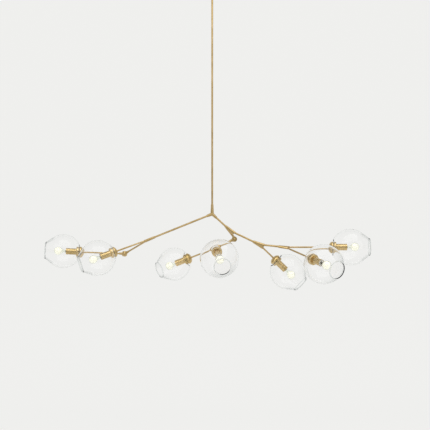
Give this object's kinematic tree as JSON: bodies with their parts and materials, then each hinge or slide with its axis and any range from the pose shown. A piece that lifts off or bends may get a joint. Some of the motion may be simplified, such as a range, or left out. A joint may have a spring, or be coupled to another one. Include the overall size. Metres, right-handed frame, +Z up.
{
  "type": "branching globe chandelier",
  "caption": "Branching brass chandelier hung from a ceiling canopy; its arms fork like twigs, some through swivel knuckles, and end in open blown-glass globes around round lit bulbs.",
  "frame": {"origin": "on the ceiling plane, at the centre of the canopy and stem, between the two strap slots", "axes": "+Z up into the ceiling along the stem, +X to the viewer's right, -Y towards the viewer"},
  "size_m": [1.6233, 0.543, 1.5784],
  "materials": {
    "satin_brass": "satin brushed and lacquered",
    "globe_glass": "clear blown glass, fire-polished lip",
    "bulb_glass": "frosted, lit warm white",
    "porcelain": "white glaze",
    "strap_steel": "zinc plated"
  },
  "bodies": {
    "ceiling": {"mounting_strap": "strap_steel", "stem_bushing": "satin_brass", "canopy": "satin_brass", "canopy_collar": "satin_brass"},
    "frame": {"arm_2": "satin_brass", "arm_5": "satin_brass", "arm_6": "satin_brass", "arm_7": "satin_brass", "bulb_2": "bulb_glass", "bulb_5": "bulb_glass", "bulb_6": "bulb_glass", "bulb_7": "bulb_glass", "centre_fork": "satin_brass", "centre_y": "satin_brass", "drop_rod": "satin_brass", "end_y": "satin_brass", "globe_2": "globe_glass", "globe_5": "globe_glass", "globe_6": "globe_glass", "globe_7": "globe_glass", "holder_cup_2": "satin_brass", "holder_cup_5": "satin_brass", "holder_cup_6": "satin_brass", "holder_cup_7": "satin_brass", "hub_y": "satin_brass", "lampholders_fixed": "porcelain", "left_arm": "satin_brass", "left_fork": "satin_brass", "left_link": "satin_brass", "left_y": "satin_brass", "middle_arm": "satin_brass", "outer_arm": "satin_brass", "pivot_screws": "satin_brass", "right_arm": "satin_brass", "right_y": "satin_brass", "socket_sleeve_2": "satin_brass", "socket_sleeve_5": "satin_brass", "socket_sleeve_6": "satin_brass", "socket_sleeve_7": "satin_brass", "stem_nut": "satin_brass"},
    "left_swing": {"left_tongue": "satin_brass", "arm_1": "satin_brass", "holder_cup_1": "satin_brass", "globe_1": "globe_glass", "socket_sleeve_1": "satin_brass", "bulb_1": "bulb_glass", "lampholder_left": "porcelain"},
    "centre_swing": {"centre_tongue": "satin_brass", "centre_arm": "satin_brass", "swing_y": "satin_brass", "arm_3": "satin_brass", "lampholders_centre": "porcelain", "holder_cup_3": "satin_brass", "globe_3": "globe_glass", "socket_sleeve_3": "satin_brass", "bulb_3": "bulb_glass", "holder_cup_4": "satin_brass", "globe_4": "globe_glass", "socket_sleeve_4": "satin_brass", "bulb_4": "bulb_glass"}
  },
  "joints": [
    {"name": "stem_turn", "type": "hinge", "parent": "ceiling", "child": "frame", "pos_m": [0, 0, 0], "axis": [0, 0, 1], "range_deg": [-170, 170]},
    {"name": "left_knuckle", "type": "hinge", "parent": "frame", "child": "left_swing", "pos_m": [-0.4547, 0.11002, -1.4059], "axis": [-0.1016, 0.6615, 0.743], "range_deg": [-90, 15]},
    {"name": "centre_knuckle", "type": "hinge", "parent": "frame", "child": "centre_swing", "pos_m": [0.11118, -0.01005, -1.32496], "axis": [0.085, 0.9955, 0.0415], "range_deg": [-80, 10]}
  ]
}
